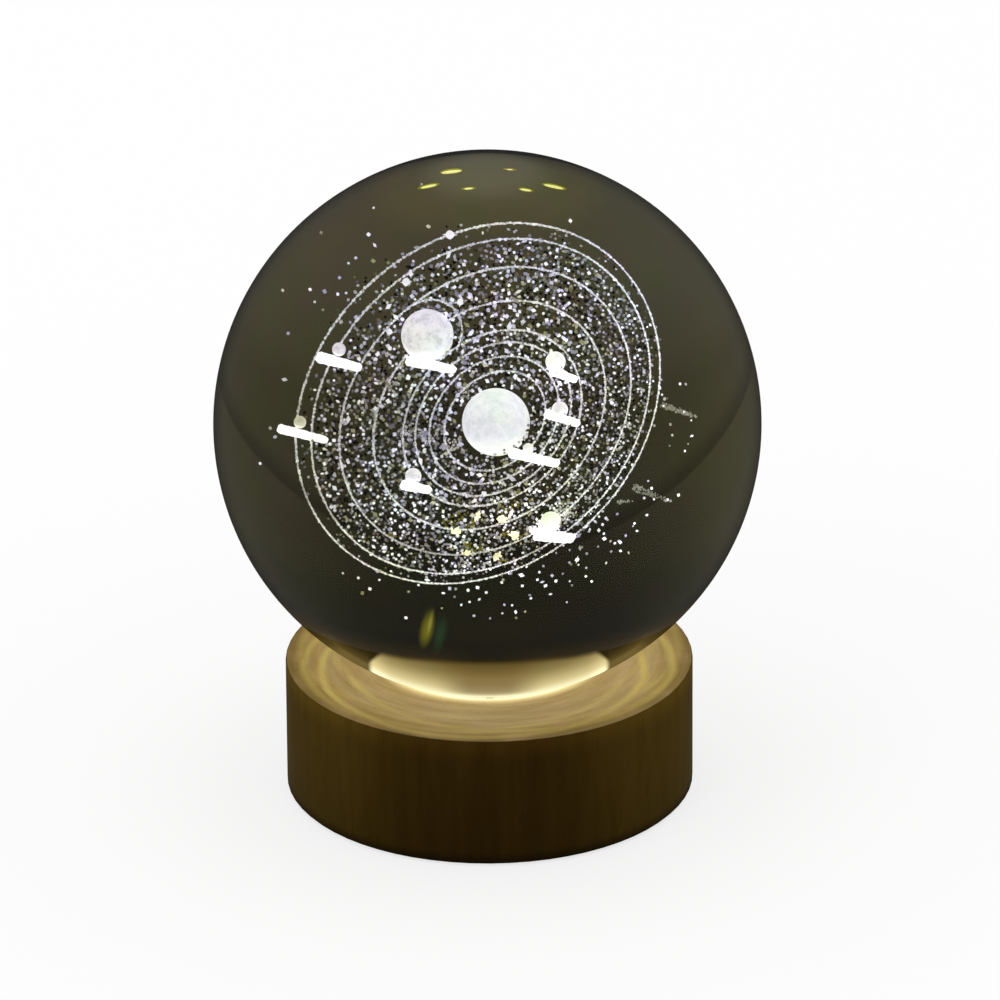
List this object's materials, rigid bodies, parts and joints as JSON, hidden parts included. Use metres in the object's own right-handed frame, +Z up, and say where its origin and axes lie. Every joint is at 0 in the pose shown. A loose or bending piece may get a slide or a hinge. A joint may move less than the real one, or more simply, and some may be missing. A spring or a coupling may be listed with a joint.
{
  "type": "crystal ball lamp",
  "caption": "Solid glass ball with a fine engraving inside, resting on a round wooden base that lights it from below; rear power inlet and push switch.",
  "frame": {"origin": "centre of the lamp's footprint, on the surface that it stands on", "axes": "+Z up through the centre of the base and the ball; +Y towards the back, where the power inlet and the switch are; +X to the right seen from the front"},
  "size_m": [0.08, 0.08, 0.0972],
  "materials": {
    "walnut": "satin, turned, dark stained",
    "fibreboard": "matte",
    "foam": "matte, non-slip",
    "steel": "plain",
    "white_board": "white lacquered circuit board",
    "green_board": "green lacquered circuit board",
    "phosphor": "warm white LED",
    "ceramic_body": "satin",
    "black_plastic": "moulded, satin",
    "red_sleeve": "satin",
    "black_sleeve": "satin",
    "silicone": "translucent, satin",
    "smoked_glass": "polished, clear through and through, engraved inside"
  },
  "bodies": {
    "base": {"wood_base": "walnut", "bottom_cover": "fibreboard", "base_pad": "foam", "cover_screw_1": "steel", "cover_screw_2": "steel", "cover_screw_3": "steel", "led_board": "white_board", "led_board_screw_1": "steel", "led_board_screw_2": "steel", "led_1": "phosphor", "led_2": "phosphor", "led_3": "phosphor", "led_4": "phosphor", "led_5": "phosphor", "led_6": "phosphor", "resistor_1": "ceramic_body", "resistor_2": "ceramic_body", "resistor_3": "ceramic_body", "panel_screw_1": "steel", "panel_screw_2": "steel", "inlet_board": "green_board", "power_inlet_shell": "steel", "power_inlet_core": "black_plastic", "rear_panel": "black_plastic", "switch_body": "black_plastic", "lead_positive": "red_sleeve", "lead_negative": "black_sleeve"},
    "seat": {"seat_ring": "silicone"},
    "ball": {"crystal_ball": "smoked_glass"},
    "button": {"switch_button": "black_plastic"}
  },
  "joints": [
    {"name": "ball_turn", "type": "hinge", "parent": "base", "child": "seat", "pos_m": [0, 0, 0.0202], "axis": [0, 0, 1], "continuous": true},
    {"name": "ball_lift", "type": "slide", "parent": "seat", "child": "ball", "axis": [0, 0, 1], "range_m": [0, 0.05]},
    {"name": "switch_press", "type": "slide", "parent": "base", "child": "button", "axis": [0, -1, 0], "range_m": [0, 0.0015], "stiffness_N_per_m": 600}
  ]
}
